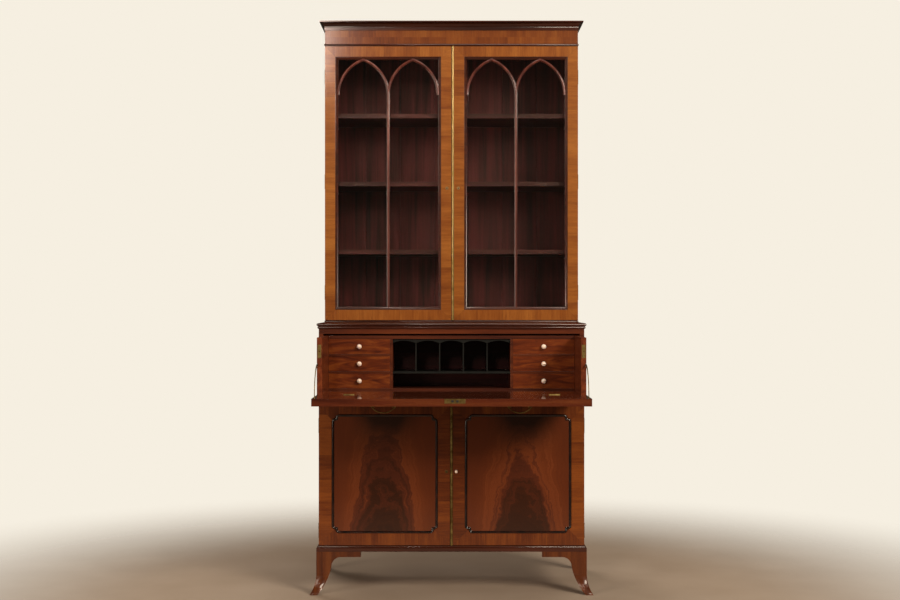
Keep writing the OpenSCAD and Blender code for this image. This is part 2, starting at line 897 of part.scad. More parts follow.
// the fall with its tongue that tucks under the drawer's lip
module fall_board() {
    y0 = hinge_y - fall_l;
    y1 = hinge_y - joint_gap;
    y2 = hinge_y + tongue_l;
    z0 = writing_h - fall_t;
    z1 = writing_h - lip_t - 0.5;
    color("#6a3012") difference() {
        along_x(-drawer_half, drawer_half)
            polygon([[y0, z0], [y2, z0], [y2, z1], [y1, z1], [y1, writing_h], [y0, writing_h]]);
        at_fall_hinges() mirror([1, 0, 0]) fall_hinge_pocket();
        lock_plate(0.1);
        both_sides() stay_foot(0.1);
    }
}

module lock_plate(clear) {
    y0 = hinge_y - fall_l;
    board([lock_x - lock_w / 2 - clear, y0 - (clear > 0 ? 1 : 0), writing_h - 17 - clear],
        [lock_x + lock_w / 2 + clear, y0 + 1.5 + clear, writing_h + (clear > 0 ? 1 : 0)]);
}

module stay_foot(clear) {
    y0 = hinge_y - stay_r;
    board([drawer_half - 12 - clear, y0 - 18 - clear, writing_h - 2 - clear],
        [drawer_half - 0.3 + (clear > 0 ? 1 : 0), y0 + 18 + clear, writing_h + (clear > 0 ? 1 : 0)]);
}

// hinge leaves, lock plate, and a rosette with a drilled post at each end of each bail
module fall_brass() {
    face = writing_h - fall_t;
    color("#b08d4a") {
        at_fall_hinges() mirror([1, 0, 0]) mirror([0, 1, 0]) hinge_leaf(fall_hinge_l, 0, [1, 3], true);
        lock_plate(0);
        both_sides() for (s = [-1, 1]) translate([bail_x + s * bail_w / 2, bail_y, 0]) difference() {
            union() {
                translate([0, 0, face - 2]) cylinder(r = 10, h = 2);
                translate([0, 0, bail_z - post_r]) cylinder(r = post_r, h = face - bail_z + post_r);
            }
            translate([-20, 0, bail_z]) rotate([0, 90, 0]) cylinder(r = pin_r + pin_fit, h = 40);
        }
    }
}

module stays() {
    outer = drawer_half - 0.3;
    color("#b08d4a") both_sides() {
        stay_foot(0);
        stay_ring(outer - stay_t, outer, stay_r - stay_w / 2, stay_r + stay_w / 2, stay_angles);
    }
}

// a bow of round rod whose two ends turn in the posts
module bail(side) {
    half = bail_w / 2 + post_r + bail_rod_r + bail_clear;
    bow_r = (half * half + bail_drop * bail_drop) / (2 * bail_drop);
    spread = asin(half / bow_r);
    color("#b08d4a") on_side(side) translate([bail_x, bail_y, bail_z]) {
        translate([0, 0, bow_r - bail_drop]) rotate([90, 0, 0]) rotate([0, 0, -90 - spread])
            rotate_extrude(angle = 2 * spread) translate([bow_r, 0]) circle(bail_rod_r, $fn = 24);
        for (s = [-1, 1]) {
            translate([s * half, 0, 0]) sphere(bail_rod_r, $fn = 24);
            translate([s * half - (s > 0 ? bail_pin_l : 0), 0, 0]) rotate([0, 90, 0])
                cylinder(r = pin_r, h = bail_pin_l);
        }
    }
}

// ---- small drawers: row 1 is the top row ----

function row_z(row) = nest_floor + (3 - row) * (row_h + row_t);

module small_drawer(side, row) {
    x0 = wall_out + small_gap;
    x1 = drawer_in - small_gap;
    y0 = nest_front + 0.5;
    y1 = nest_back - 4;
    z0 = row_z(row) + small_gap / 2;
    z1 = row_z(row) + row_h - small_gap;
    yf = y0 + small_front_t;
    top = z1 - 4;
    color("#7d3c17") on_side(side) {
        difference() {
            board([x0, y0, z0], [x1, yf, z1]);
            translate([(x0 + x1) / 2, y0 + dowel_l + 0.5, (z0 + z1) / 2]) rotate([90, 0, 0])
                cylinder(r = dowel_r + pin_fit, h = dowel_l + 2, $fn = 32);
        }
        board([x0, yf + glue, z0], [x0 + small_side_t, y1, top]);
        board([x1 - small_side_t, yf + glue, z0], [x1, y1, top]);
        board([x0 + small_side_t + glue, y1 - small_side_t, z0], [x1 - small_side_t - glue, y1, top]);
        board([x0 + small_side_t + glue, yf + glue, z0],
            [x1 - small_side_t - glue, y1 - small_side_t - glue, z0 + small_bottom_t]);
    }
}

// a turned knob with its dowel
module knob(side, row) {
    x = (wall_out + drawer_in) / 2;
    z = row_z(row) + row_h / 2 - small_gap / 4;
    r = knob_d / 2;
    color("#e8dccb") on_side(side) translate([x, nest_front + 0.5, z]) rotate([90, 0, 0]) {
        translate([0, 0, -dowel_l]) cylinder(r = dowel_r, h = dowel_l + 2, $fn = 32);
        cylinder(r = r * 0.62, h = 2, $fn = 48);
        translate([0, 0, 1]) cylinder(r = r * 0.42, h = 7, $fn = 48);
        translate([0, 0, 6 + r * 0.6]) intersection() {
            sphere(r, $fn = 48);
            translate([0, 0, -r * 0.6]) cylinder(r = r, h = r * 1.45, $fn = 48);
        }
    }
}

base_sides();
base_bottom();
base_back();
cupboard_shelf();
dust_board();
front_rails();
base_top();
top_moulding();
plinth_moulding();
feet_front();
feet_back();
bookcase_sides();
bookcase_bottom();
bookcase_top();
bookcase_back();
bookcase_shelves();
shelf_ledges();
waist_moulding();
frieze();
cornice();
case_hinges();
bookcase_frame(-1);  // bookcase_frame_left
bookcase_frame(1);  // bookcase_frame_right
tracery(-1);  // tracery_left
tracery(1);  // tracery_right
glass(-1);  // glass_left
glass(1);  // glass_right
bookcase_brass(-1);  // bookcase_brass_left
bookcase_brass(1);  // bookcase_brass_right
cupboard_frame(-1);  // cupboard_frame_left
cupboard_frame(1);  // cupboard_frame_right
panel(-1);  // panel_left
panel(1);  // panel_right
panel_moulding(-1);  // panel_moulding_left
panel_moulding(1);  // panel_moulding_right
cupboard_brass(-1);  // cupboard_brass_left
cupboard_brass(1);  // cupboard_brass_right
drawer_sides();
drawer_bottom();
drawer_back();
nest_boards();
nest_partitions();
drawer_brass();
fall_board();
fall_brass();
stays();
bail(-1);  // bail_left
bail(1);  // bail_right
small_drawer(-1, 1);  // small_drawer_l1
small_drawer(-1, 2);  // small_drawer_l2
small_drawer(-1, 3);  // small_drawer_l3
small_drawer(1, 1);  // small_drawer_r1
small_drawer(1, 2);  // small_drawer_r2
small_drawer(1, 3);  // small_drawer_r3
knob(-1, 1);  // knob_l1
knob(-1, 2);  // knob_l2
knob(-1, 3);  // knob_l3
knob(1, 1);  // knob_r1
knob(1, 2);  // knob_r2
knob(1, 3);  // knob_r3
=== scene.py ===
# %% [markdown]
# # A mahogany secretaire bookcase
# A secretaire is a chest whose top drawer pulls out and opens into a desk. This one has a cupboard under the
# drawer and a glazed bookcase on top. Its joinery is already cut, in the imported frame: every board, door and
# drawer is there at its real size, in metres. This lesson gives it its woods, its brass and its fine detail.

# %% load the joinery and keep its size
import math

import bmesh
import bpy
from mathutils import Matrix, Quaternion, Vector


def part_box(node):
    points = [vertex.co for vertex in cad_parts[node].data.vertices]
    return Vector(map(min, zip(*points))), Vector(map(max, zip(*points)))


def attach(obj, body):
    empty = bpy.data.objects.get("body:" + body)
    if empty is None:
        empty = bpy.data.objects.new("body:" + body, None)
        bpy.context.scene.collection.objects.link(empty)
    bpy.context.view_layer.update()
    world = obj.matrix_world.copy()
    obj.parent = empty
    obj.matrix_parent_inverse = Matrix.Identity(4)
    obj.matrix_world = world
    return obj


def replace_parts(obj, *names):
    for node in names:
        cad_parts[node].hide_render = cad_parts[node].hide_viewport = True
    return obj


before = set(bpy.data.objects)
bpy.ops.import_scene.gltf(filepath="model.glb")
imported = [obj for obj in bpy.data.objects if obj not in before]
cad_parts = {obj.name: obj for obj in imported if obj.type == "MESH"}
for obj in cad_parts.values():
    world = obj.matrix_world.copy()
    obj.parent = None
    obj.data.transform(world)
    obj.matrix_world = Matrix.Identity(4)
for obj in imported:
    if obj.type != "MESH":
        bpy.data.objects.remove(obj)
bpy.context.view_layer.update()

MM = 0.001

# %% [markdown]
# ## Camera, light and floor
# A tall piece of furniture is shown square on, from far enough away that its verticals stay upright. The
# camera stands level at the height of the writing surface's nest. A big soft light on the right and high up
# models the mouldings, a smaller one on the left puts a sheen on the polish, and a weak one behind keeps the
# back readable. The picture keeps plain display colours, so that a hex value looks like itself in full light.

# %% camera
scene = bpy.context.scene
scene.view_settings.view_transform = "Standard"
eye = bpy.data.objects.new("camera", bpy.data.cameras.new("camera"))
eye.location = (-0.006, -5.7, 1.161)
eye.rotation_euler = (math.radians(90), 0, 0)
eye.data.sensor_width = 36
eye.data.lens = 57.44
scene.collection.objects.link(eye)
scene.camera = eye


# %% colours: hex as a paint chart has it, turned to the linear numbers that light is added up in
def linear(code, alpha=1.0):
    shares = [int(code[i:i + 2], 16) / 255 for i in (0, 2, 4)]
    return [s / 12.92 if s <= 0.04045 else ((s + 0.055) / 1.055) ** 2.4 for s in shares] + [alpha]


# %% one small function adds a node; an input given as a node or a socket is linked, anything else is set
def add(holder, kind, inputs=None, stops=None, **settings):
    tree = holder.node_tree
    node = tree.nodes.new("ShaderNode" + kind)
    for name, value in settings.items():
        setattr(node, name, value)
    for key, value in (inputs or {}).items():
        if isinstance(value, bpy.types.Node):
            value = value.outputs[0]
        if isinstance(value, bpy.types.NodeSocket):
            tree.links.new(value, node.inputs[key])
        else:
            node.inputs[key].default_value = value
    for k, (place, code) in enumerate(stops or []):
        ramp = node.color_ramp.elements
        stop = ramp[k] if k < 2 else ramp.new(place)
        stop.position, stop.color = place, linear(code)
    return node


# %% soft studio lights
def soft_light(name, place, aim, width, height, watts, tint="ffffff"):
    lamp = bpy.data.lights.new(name, "AREA")
    lamp.shape, lamp.size, lamp.size_y = "RECTANGLE", width, height
    lamp.energy, lamp.color = watts, linear(tint)[:3]
    holder = bpy.data.objects.new(name, lamp)
    holder.location = place
    holder.rotation_euler = (Vector(aim) - Vector(place)).to_track_quat("-Z", "Y").to_euler()
    scene.collection.objects.link(holder)
    return holder


soft_light("key_right", (3.4, -4.6, 3.5), (0, 0, 1.35), 2.2, 1.8, 330, "fff0dc")
soft_light("sheen_left", (-1.25, -5.6, 3.25), (-0.3, 0, 1.7), 0.5, 0.6, 40, "ffe2d2")
soft_light("fill_left", (-3.6, -3.8, 1.6), (0, 0, 1.0), 2.0, 2.4, 110, "fff0dc")
soft_light("overhead", (0.3, -1.2, 4.6), (0, -0.1, 1.0), 2.2, 1.6, 60, "fff4e4")
behind = soft_light("behind", (-2.4, 4.6, 2.8), (0, 0.3, 1.1), 2.4, 2.0, 150, "fff2e4")
behind.visible_glossy = False

# %% a pale surround: bright where it is looked at, straight or through glass, dim as a light and in the polish
world = bpy.data.worlds.new("pale_surround")
scene.world = world
world.use_nodes = True
world.node_tree.nodes.clear()
ray = add(world, "LightPath").outputs
seen = add(world, "Background", {"Color": linear("f6efe1"), "Strength": 1.0})
felt = add(world, "Background", {"Color": linear("f0e0cc"), "Strength": 0.17})
mirrored = add(world, "Background", {"Color": linear("f0dcc0"), "Strength": 0.05})
lit = add(world, "MixShader", {0: ray["Is Glossy Ray"], 1: felt, 2: mirrored})
turns = add(world, "Math", {0: ray["Diffuse Depth"], 1: ray["Glossy Depth"]}, operation="ADD")
straight = add(world, "Math", {0: turns, 1: 0.5}, operation="LESS_THAN")
through = add(world, "Math", {0: ray["Is Transmission Ray"], 1: straight}, operation="MULTIPLY")
looked_at = add(world, "Math", {0: ray["Is Camera Ray"], 1: through}, operation="MAXIMUM")
add(world, "OutputWorld", {"Surface": add(world, "MixShader", {0: looked_at, 1: lit, 2: seen})})


# %% an empty material to add nodes to
def blank(name):
    material = bpy.data.materials.new(name)
    material.use_nodes = True
    material.node_tree.nodes.clear()
    return material


# %% [markdown]
# The floor is a painted studio floor. It fades out with distance from the furniture, so that it has no far
# edge or horizon from any side. The fade follows the floor's own coordinates, so every view has the same one.

# %% floor
def floor_paint():
    m = blank("studio_floor_paint")
    spot = add(m, "TexCoord").outputs["Object"]
    reach = add(m, "VectorMath", {0: spot}, operation="LENGTH").outputs["Value"]
    fade = add(m, "MapRange", {"Value": reach, "From Min": 1.1, "From Max": 3.0},
               interpolation_type="SMOOTHSTEP")
    cloud = add(m, "TexNoise", {"Vector": spot, "Scale": 3.0, "Detail": 4.0})
    paint = add(m, "ValToRGB", {0: cloud}, [(0.3, "a1907f"), (0.7, "ab9b8b")])
    coat = add(m, "BsdfPrincipled", {"Base Color": paint, "Roughness": 0.5})
    shown = add(m, "MixShader", {0: fade, 1: coat, 2: add(m, "BsdfTransparent")})
    add(m, "OutputMaterial", {"Surface": shown})
    return m


sheet = bpy.data.meshes.new("floor")
ring = [(3.2 * math.cos(a * math.pi / 24), 3.2 * math.sin(a * math.pi / 24), 0) for a in range(48)]
sheet.from_pydata(ring, [], [list(range(48))])
sheet.materials.append(floor_paint())
floor = bpy.data.objects.new("floor", sheet)
scene.collection.objects.link(floor)

# %% [markdown]
# ## The woods
# All the show wood is mahogany under French polish, a shellac film rubbed to a soft gloss. To the eye that is
# a warm colour that runs in streaks with the grain, fine dark pores, and a clear film over it. The film is
# the shader's coat: IOR 1.5, roughness near 0.1. The streaks are noise that is stretched along the grain.

# %% finish: film, pores and the output, shared by all the woods
def finish(m, colour, pores, rough, gloss, film=0.12, depth=0.05):
    """Closes a wood: pores darken and dent it, gloss is the weight of the polish and film its roughness."""
    dark = add(m, "MapRange", {"Value": pores, "From Min": 0.56, "From Max": 0.74,
                               "To Min": 1.0, "To Max": 0.62})
    shaded = add(m, "Mix", {0: 1.0, 6: colour, 7: dark.outputs[0]}, data_type="RGBA", blend_type="MULTIPLY")
    uneven = add(m, "MapRange", {"Value": pores, "To Min": rough - 0.06, "To Max": rough + 0.1})
    dents = add(m, "Bump", {"Distance": depth * MM, "Height": dark.outputs[0]})
    wood = add(m, "BsdfPrincipled", {
        "Base Color": shaded.outputs[2], "Roughness": uneven.outputs[0], "Normal": dents.outputs[0],
        "Coat Weight": gloss, "Coat Roughness": film, "Coat IOR": 1.5, "IOR": 1.45,
        "Specular IOR Level": 0.2})
    add(m, "OutputMaterial", {"Surface": wood})
    return m


# %% [markdown]
# A board shows long streaks. Ribbon stripe in quarter-cut mahogany is 10 to 30 mm wide, its fibres about
# 1 mm, and its pores a few tenths of a millimetre wide and some millimetres long. The pores are drawn about
# 1 mm wide, so that they show. The grain follows the length of each board.

# %% board: plain mahogany with its grain along X, Y or Z
def board_wood(name, grain, tones, rough=0.36, gloss=0.5, film=0.12):
    m = blank(name)
    spot = add(m, "TexCoord").outputs["Object"]
    stretch = {k: [across * (0.045 if axis == grain else 1) for axis in "XYZ"]
               for k, across in (("ribbon", 42.0), ("fibre", 420.0), ("pore", 900.0))}
    found = {k: add(m, "TexNoise", {
        "Vector": add(m, "Mapping", {"Vector": spot, "Scale": s}), "Scale": 1.0,
        "Detail": 4.0, "Distortion": 0.5 if k == "ribbon" else 0.0}) for k, s in stretch.items()}
    drift = add(m, "TexNoise", {"Vector": spot, "Scale": 2.3, "Detail": 2.0})
    figure = add(m, "Math", {0: found["ribbon"], 1: 0.62, 2: -0.05}, operation="MULTIPLY_ADD")
    figure = add(m, "Math", {0: found["fibre"], 1: 0.24, 2: figure}, operation="MULTIPLY_ADD")
    figure = add(m, "Math", {0: drift, 1: 0.26, 2: figure}, operation="MULTIPLY_ADD")
    colour = add(m, "ValToRGB", {0: figure}, [(0.36, tones[0]), (0.52, tones[1]), (0.68, tones[2])])
    return finish(m, colour, found["pore"], rough, gloss, film)


# %% [markdown]
# Crossbanding is veneer laid with its grain across the member, in short leaves set edge to edge: level grain
# on the stiles, upright grain on the rails, meeting in a mitre at each corner. Each leaf comes from another
# place in the log, so its tone differs. One material draws the whole door frame: the nearer edge of the
# frame says whether a spot is on a stile or a rail, and a line of random cells along the member gives the
# leaves, 70 to 170 mm long. A joint is a hair line in reality, and it is drawn 0.8 mm wide so that it shows.

# %% crossbanding
def crossbanded(name, node, tones, leaf, mitred=True, painted_stile_light=(0.0, 0.0), rough=0.34, gloss=0.5, film=0.12):
    """tones run dark to pale; the pair of stile values after mitred is painted light: how far the left and the right
    stile are shifted in tone from the rails, as the lamps light each side.
    """
    m = blank(name)
    low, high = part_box(node)
    middle, half = (low + high) / 2, (high - low) / 2
    at = add(m, "SeparateXYZ", {0: add(m, "TexCoord").outputs["Object"]})
    x, z = at.outputs["X"], at.outputs["Z"]
    edges, sides = [], []
    for socket, axis in ((x, 0), (z, 2)):
        off = add(m, "Math", {0: socket, 1: middle[axis]}, operation="SUBTRACT")
        sides.append(add(m, "Math", {0: off, 1: 0.0}, operation="GREATER_THAN"))
        off = add(m, "Math", {0: off}, operation="ABSOLUTE")
        edges.append(add(m, "Math", {0: half[axis], 1: off}, operation="SUBTRACT"))
    stile = add(m, "Math", {0: edges[0], 1: edges[1]}, operation="LESS_THAN") if mitred else 0.0
    length = add(m, "Mix", {0: stile, 2: x, 3: z})
    across = add(m, "Mix", {0: stile, 2: z, 3: x})
    side = add(m, "Mix", {0: stile, 2: sides[1], 3: sides[0]})
    place = add(m, "Math", {0: length, 1: 1 / (leaf * MM), 2: middle[0] * 17}, operation="MULTIPLY_ADD")
    place = add(m, "Math", {0: side, 1: 7.31, 2: place}, operation="MULTIPLY_ADD")
    cells = {"W": place, "Scale": 1.0, "Randomness": 0.8}
    leaves = add(m, "TexVoronoi", cells, voronoi_dimensions="1D")
    joint = add(m, "TexVoronoi", cells, voronoi_dimensions="1D", feature="DISTANCE_TO_EDGE")
    tone = add(m, "SeparateColor", {0: leaves.outputs["Color"]})
    shift = add(m, "Math", {0: tone, 1: 37.0}, operation="MULTIPLY")
    grains = {}
    for k, lengthways, crossways in (("broad", 26.0, 5.0), ("streak", 150.0, 9.0), ("pore", 800.0, 60.0)):
        u = add(m, "Math", {0: length, 1: lengthways}, operation="MULTIPLY")
        v = add(m, "Math", {0: across, 1: crossways}, operation="MULTIPLY")
        spot = add(m, "CombineXYZ", {0: u, 1: v, 2: shift})
        grains[k] = add(m, "TexNoise", {"Vector": spot, "Scale": 1.0, "Detail": 3.0, "Distortion": 0.3})
    figure = add(m, "Math", {0: grains["broad"], 1: 0.46, 2: 0.03}, operation="MULTIPLY_ADD")
    figure = add(m, "Math", {0: grains["streak"], 1: 0.36, 2: figure}, operation="MULTIPLY_ADD")
    figure = add(m, "Math", {0: tone, 1: 0.16, 2: figure}, operation="MULTIPLY_ADD")
    # painted light: the left and the right stile are shifted in tone by the given pair, standing for how the lamps
    # light each side
    stile_painted_light = add(m, "Mix", {0: sides[0], 2: painted_stile_light[0], 3: painted_stile_light[1]})
    figure = add(m, "Math", {0: stile, 1: stile_painted_light, 2: figure}, operation="MULTIPLY_ADD")
    colour = add(m, "ValToRGB", {0: figure}, [(0.3, tones[0]), (0.52, tones[1]), (0.74, tones[2])])
    line = add(m, "MapRange", {"Value": joint, "From Max": 0.8 / leaf, "To Min": 0.5})
    if mitred:
        seam = add(m, "Math", {0: edges[0], 1: edges[1]}, operation="SUBTRACT")
        seam = add(m, "Math", {0: seam}, operation="ABSOLUTE")
        seam = add(m, "MapRange", {"Value": seam, "From Max": 0.9 * MM, "To Min": 0.55})
        line = add(m, "Math", {0: line, 1: seam}, operation="MULTIPLY")
    lined = add(m, "Mix", {0: 1.0, 6: colour, 7: line.outputs[0]}, data_type="RGBA", blend_type="MULTIPLY")
    return finish(m, lined.outputs[2], grains["pore"], rough, gloss, film)


# %% [markdown]
# The cupboard panels are flame mahogany, cut where the trunk forks. A dark plume stands in the middle and
# widens downwards, with paler feathers sweeping out of it on both sides. The figure is one number for each
# spot: how far inside a downward-opening curve it lies, whose tip is a fifth of the way down. Noise that
# follows this number draws the feathers along nested curves, and a ramp over it gives plume, glow and sides.
# Over the tip the colour is darkened, most near the middle: a painted shadow of the fall above the door. The inner
# face of the door is plain.

# %% flame figure: how high up the panel its tip is, and how fast its sides close in, per metre
TIP = 0.8
BOW = 26.0


def flame(name, node, lean):
    m = blank(name)
    low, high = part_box(node)
    at = add(m, "SeparateXYZ", {0: add(m, "TexCoord").outputs["Object"]})
    x, z = at.outputs["X"], at.outputs["Z"]
    sway = add(m, "TexNoise", {"W": add(m, "Math", {0: z, 1: 3.1, 2: lean * 9}, operation="MULTIPLY_ADD"),
                               "Scale": 1.0, "Detail": 2.0}, noise_dimensions="1D")
    sway = add(m, "MapRange", {"Value": sway, "To Min": -0.035, "To Max": 0.035})
    off = add(m, "Math", {0: x, 1: (low[0] + high[0]) / 2 + lean}, operation="SUBTRACT")
    off = add(m, "Math", {0: off, 1: sway}, operation="ADD")
    off = add(m, "Math", {0: off}, operation="ABSOLUTE")
    apex = low[2] + TIP * (high[2] - low[2])
    bow = add(m, "Math", {0: off, 1: off}, operation="MULTIPLY")
    bow = add(m, "Math", {0: bow, 1: -BOW, 2: apex}, operation="MULTIPLY_ADD")
    inside = add(m, "Math", {0: bow, 1: z}, operation="SUBTRACT")
    mottle = add(m, "TexNoise", {"Vector": add(m, "CombineXYZ", {0: x, 1: lean * 90, 2: z}), "Scale": 9.0,
                                 "Detail": 6.0, "Roughness": 0.6})
    inside = add(m, "Math", {0: mottle, 1: 0.5, 2: inside}, operation="MULTIPLY_ADD")
    runs = {}
    for k, over, up in (("feather", 16.0, 3.0), ("hair", 70.0, 8.0), ("pore", 400.0, 40.0)):
        u = add(m, "Math", {0: inside, 1: over}, operation="MULTIPLY")
        v = add(m, "Math", {0: z, 1: up}, operation="MULTIPLY")
        along = add(m, "CombineXYZ", {0: u, 1: lean * 90, 2: v})
        runs[k] = add(m, "TexNoise", {"Vector": along, "Scale": 1.0, "Detail": 6.0, "Roughness": 0.6,
                                      "Distortion": 0.3})
    depth = add(m, "Math", {0: inside, 1: 0.75, 2: -0.15}, operation="MULTIPLY_ADD")
    depth = add(m, "Math", {0: runs["feather"], 1: 0.62, 2: depth}, operation="MULTIPLY_ADD")
    depth = add(m, "Math", {0: runs["hair"], 1: 0.34, 2: depth}, operation="MULTIPLY_ADD")
    colour = add(m, "ValToRGB", {0: depth}, [
        (0.05, "56260f"), (0.28, "5d2a10"), (0.42, "693216"), (0.54, "4b2110"), (0.68, "351809"),
        (0.9, "291208")])
    # painted shadow: from just under the flame's tip up to the top of the panel, strongest near the middle, the colour
    # is mixed towards 2a1409, standing for the shadow of the fall over the door
    top = add(m, "MapRange", {"Value": z, "From Min": apex - 0.06, "From Max": high[2],
                              "To Min": 0.0, "To Max": 1.3})
    narrow = add(m, "MapRange", {"Value": off, "From Min": 0.04, "From Max": 0.15,
                                 "To Min": 0.75, "To Max": 0.0})
    fall_shadow = add(m, "Math", {0: top, 1: narrow}, operation="MULTIPLY")
    fall_shadow = add(m, "Math", {0: fall_shadow, 1: mottle, 2: fall_shadow}, operation="MULTIPLY_ADD")
    dark = add(m, "Mix", {0: fall_shadow, 6: colour, 7: linear("2a1409")}, data_type="RGBA")
    inner = add(m, "Math", {0: at.outputs["Y"], 1: high.y - 1.5 * MM}, operation="GREATER_THAN")
    plain = add(m, "ValToRGB", {0: runs["pore"]}, [(0.3, "4c2410"), (0.7, "6a3a1c")])
    faced = add(m, "Mix", {0: inner, 6: dark.outputs[2], 7: plain}, data_type="RGBA")
    return finish(m, faced.outputs[2], runs["pore"], 0.3, 0.6, film=0.1)


# %% [markdown]
# The small drawers are mahogany in front and oak behind, as a maker saved the show wood. The CAD gives each
# one as a whole drawer, so the material changes from one wood to the other at the back of its front board.

# %% drawer wood: figured front, oak sides
def drawer_wood(name, node, front_depth, shift):
    m = blank(name)
    low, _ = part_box(node)
    spot = add(m, "TexCoord").outputs["Object"]
    y = add(m, "SeparateXYZ", {0: spot}).outputs["Y"]
    behind = add(m, "Math", {0: y, 1: low[1] + front_depth}, operation="GREATER_THAN")
    show = add(m, "TexNoise", {"Vector": add(m, "Mapping", {
        "Vector": spot, "Location": (shift, 0, shift), "Scale": (7, 7, 36)}), "Scale": 1.0, "Detail": 5.0,
        "Distortion": 1.4})
    show = add(m, "ValToRGB", {0: show}, [(0.3, "431706"), (0.5, "60270a"), (0.7, "7a3c13")])
    oak = add(m, "TexNoise", {"Vector": add(m, "Mapping", {
        "Vector": spot, "Scale": (60, 4, 60)}), "Scale": 1.0, "Detail": 5.0})
    oak = add(m, "ValToRGB", {0: oak}, [(0.3, "7a5a38"), (0.7, "a98758")])
    colour = add(m, "Mix", {0: behind, 6: show, 7: oak}, data_type="RGBA")
    pores = add(m, "TexNoise", {"Vector": add(m, "Mapping", {
        "Vector": spot, "Scale": (40, 40, 700)}), "Scale": 1.0, "Detail": 2.0})
    return finish(m, colour.outputs[2], pores, 0.36, 0.35, film=0.15)


# %% backboards of the bookcase: stained towards the shelves, raw pine behind
def stained_in_front(name, node, stain, pine):
    m = blank(name)
    low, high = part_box(node)
    spot = add(m, "TexCoord").outputs["Object"]
    y = add(m, "SeparateXYZ", {0: spot}).outputs["Y"]
    behind = add(m, "Math", {0: y, 1: high.y - 1.5 * MM}, operation="GREATER_THAN")
    ribbon = add(m, "TexNoise", {"Vector": add(m, "Mapping", {"Vector": spot, "Scale": (42, 42, 1.9)}),
                                 "Scale": 1.0, "Detail": 5.0, "Distortion": 0.6})
    places = (0.3, 0.5, 0.7)
    inner = add(m, "ValToRGB", {0: ribbon}, list(zip(places, stain)))
    outer = add(m, "ValToRGB", {0: ribbon}, list(zip(places, pine)))
    colour = add(m, "Mix", {0: behind, 6: inner, 7: outer}, data_type="RGBA")
    pores = add(m, "TexNoise", {"Vector": add(m, "Mapping", {"Vector": spot, "Scale": (900, 900, 40)}),
                                "Scale": 1.0, "Detail": 2.0})
    return finish(m, colour.outputs[2], pores, 0.5, 0.05, film=0.3)


# %% the plain woods of the case, each named for its wood and finish
case_upright = board_wood("polished_mahogany_upright", "Z", ["421907", "5f2a0d", "753c16"])
case_level = board_wood("polished_mahogany_level", "X", ["371406", "52220c", "683114"])
# the nest takes a darker copy of the case mahogany: painted shade, so that the blades between the small drawers show
# as dark lines
nest_wood_shaded = board_wood("polished_mahogany_nest_shaded", "X", ["34130a", "4a1f0d", "5e2c14"])
desk_top = board_wood("polished_mahogany_desk", "X", ["391408", "512210", "653419"], rough=0.26, gloss=0.9,
                      film=0.06)
depth_wood = board_wood("polished_mahogany_fore_and_aft", "Y", ["471b0b", "642b12", "7a3c1b"])
foot_wood = board_wood("polished_mahogany_feet", "Z", ["381506", "54270c", "6a3816"], gloss=0.4)
moulding = board_wood("dark_polished_mahogany", "X", ["270d05", "391609", "4d2010"], rough=0.3, gloss=0.7)
bars = board_wood("reddened_mahogany_bars", "Z", ["3a1712", "5a2a20", "784438"], rough=0.34, gloss=0.6)
PINE = ["4a2c18", "6b4426", "876036"]
raw_back = board_wood("stained_pine_backboards", "Z", PINE, rough=0.6, gloss=0.0)
carcase = board_wood("oiled_pine_carcase", "X", ["5a3218", "7a4c28", "946538"], rough=0.55, gloss=0.0)
lining = board_wood("maroon_stained_lining", "X", ["230b09", "3c1412", "521e1c"], rough=0.42, gloss=0.25,
                    film=0.3)
lining_back = stained_in_front("maroon_stained_pine_backboards", "bookcase_back",
                               ["230a09", "461416", "5a1d20"], PINE)
# the pigeonhole partitions are given a near-black colour
pigeon = board_wood("near_black_pigeonholes", "Z", ["050605", "0a0c09", "12120d"], rough=0.5, gloss=0.2,
                    film=0.3)
print("plain woods made")

# %% the veneered members
UPPER = ["5c2a08", "7c4415", "935a22"]
LOWER = ["3e1605", "5d2a0c", "7a3f14"]
# The stile pairs given here are painted light: each door's outer stile is drawn lighter than its meeting stile, where
# the lamps at the sides light it.
banded = {
    "bookcase_frame_left": crossbanded("crossbanded_mahogany_upper_left", "bookcase_frame_left", UPPER, 130,
                                       painted_stile_light=(0.08, 0.04)),
    "bookcase_frame_right": crossbanded("crossbanded_mahogany_upper_right", "bookcase_frame_right", UPPER, 130,
                                        painted_stile_light=(0.03, 0.1)),
    "cupboard_frame_left": crossbanded("crossbanded_mahogany_lower_left", "cupboard_frame_left", LOWER, 85,
                                       painted_stile_light=(0.14, -0.02)),
    "cupboard_frame_right": crossbanded("crossbanded_mahogany_lower_right", "cupboard_frame_right", LOWER, 85,
                                        painted_stile_light=(-0.05, 0.16)),
    "frieze": crossbanded("crossbanded_mahogany_frieze", "frieze", ["512204", "6a340b", "7e4716"], 120, False),
}
flames = {"panel_left": flame("flame_mahogany_left", "panel_left", 0.0),
          "panel_right": flame("flame_mahogany_right", "panel_right", 0.018)}
print(len(banded), "crossbanded members and", len(flames), "flame panels")

# %% [markdown]
# ## Brass, bone, glass and black
# The fittings are cast and rolled brass that has gone dull: metallic 1, its own yellow, and a brown film that lies in
# clouds. The brass is also drawn darker low down on the case and lighter high up.

